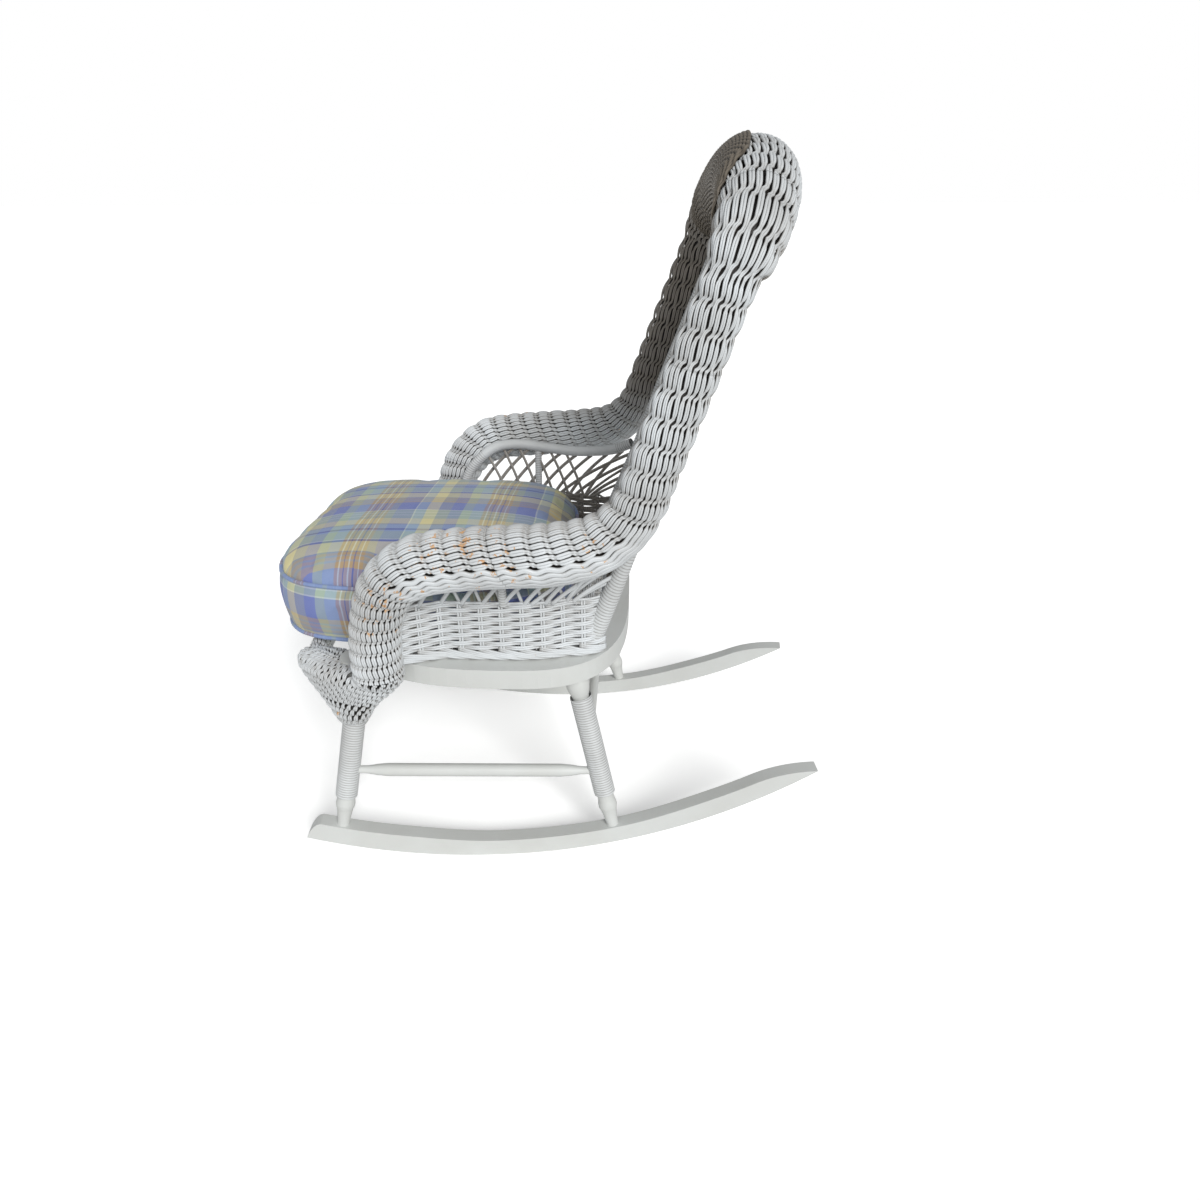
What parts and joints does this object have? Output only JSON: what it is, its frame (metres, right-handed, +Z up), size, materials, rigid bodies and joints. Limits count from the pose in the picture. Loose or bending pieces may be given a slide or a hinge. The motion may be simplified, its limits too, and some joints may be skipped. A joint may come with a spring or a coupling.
{
  "type": "rattan rocking chair",
  "caption": "Painted wicker rocking chair with rolled woven arms and back, turned cane-bound legs on bentwood rockers, and a loose plaid box cushion.",
  "frame": {"origin": "on the floor, under the middle of the chair's outline", "axes": "+Z up, the sitter faces -Y, +X towards the sitter's left"},
  "size_m": [0.6906, 0.851, 1.0286],
  "materials": {
    "painted_wood": "pale grey paint, satin",
    "bound_cane": "pale grey paint over cane binding",
    "painted_reed": "pale grey paint over woven reed, chipped",
    "plaid_cotton": "woven cotton plaid in blue, sage and cream"
  },
  "bodies": {
    "chair": {"rocker_left": "painted_wood", "rocker_right": "painted_wood", "front_leg_left": "painted_wood", "front_leg_right": "painted_wood", "rear_leg_left": "painted_wood", "rear_leg_right": "painted_wood", "side_stretcher_left": "painted_wood", "side_stretcher_right": "painted_wood", "front_stretcher": "painted_wood", "rear_stretcher": "painted_wood", "seat_hoop": "painted_wood", "front_winding_left": "bound_cane", "front_winding_right": "bound_cane", "rear_winding_left": "bound_cane", "rear_winding_right": "bound_cane", "arm_rail_left": "bound_cane", "arm_rail_right": "bound_cane", "arm_post_left": "bound_cane", "arm_post_right": "bound_cane", "back_bow": "bound_cane", "bottom_rail": "bound_cane", "middle_rail": "bound_cane", "top_rail": "bound_cane", "seat_deck": "painted_reed", "back_spindles": "painted_reed", "back_panel": "painted_reed", "head_panel": "painted_reed", "ladder_left": "painted_reed", "ladder_right": "painted_reed", "arm_roll_left": "painted_reed", "arm_roll_right": "painted_reed", "back_roll": "painted_reed", "sleeve_left": "painted_reed", "sleeve_right": "painted_reed", "front_apron": "painted_reed", "skirt_left": "painted_reed", "skirt_right": "painted_reed", "lattice_left": "painted_reed", "lattice_right": "painted_reed"},
    "cushion": {"cushion": "plaid_cotton"}
  },
  "joints": [
    {"name": "cushion_lift", "type": "slide", "parent": "chair", "child": "cushion", "axis": [0, 0, 1], "range_m": [0, 0.25]}
  ]
}
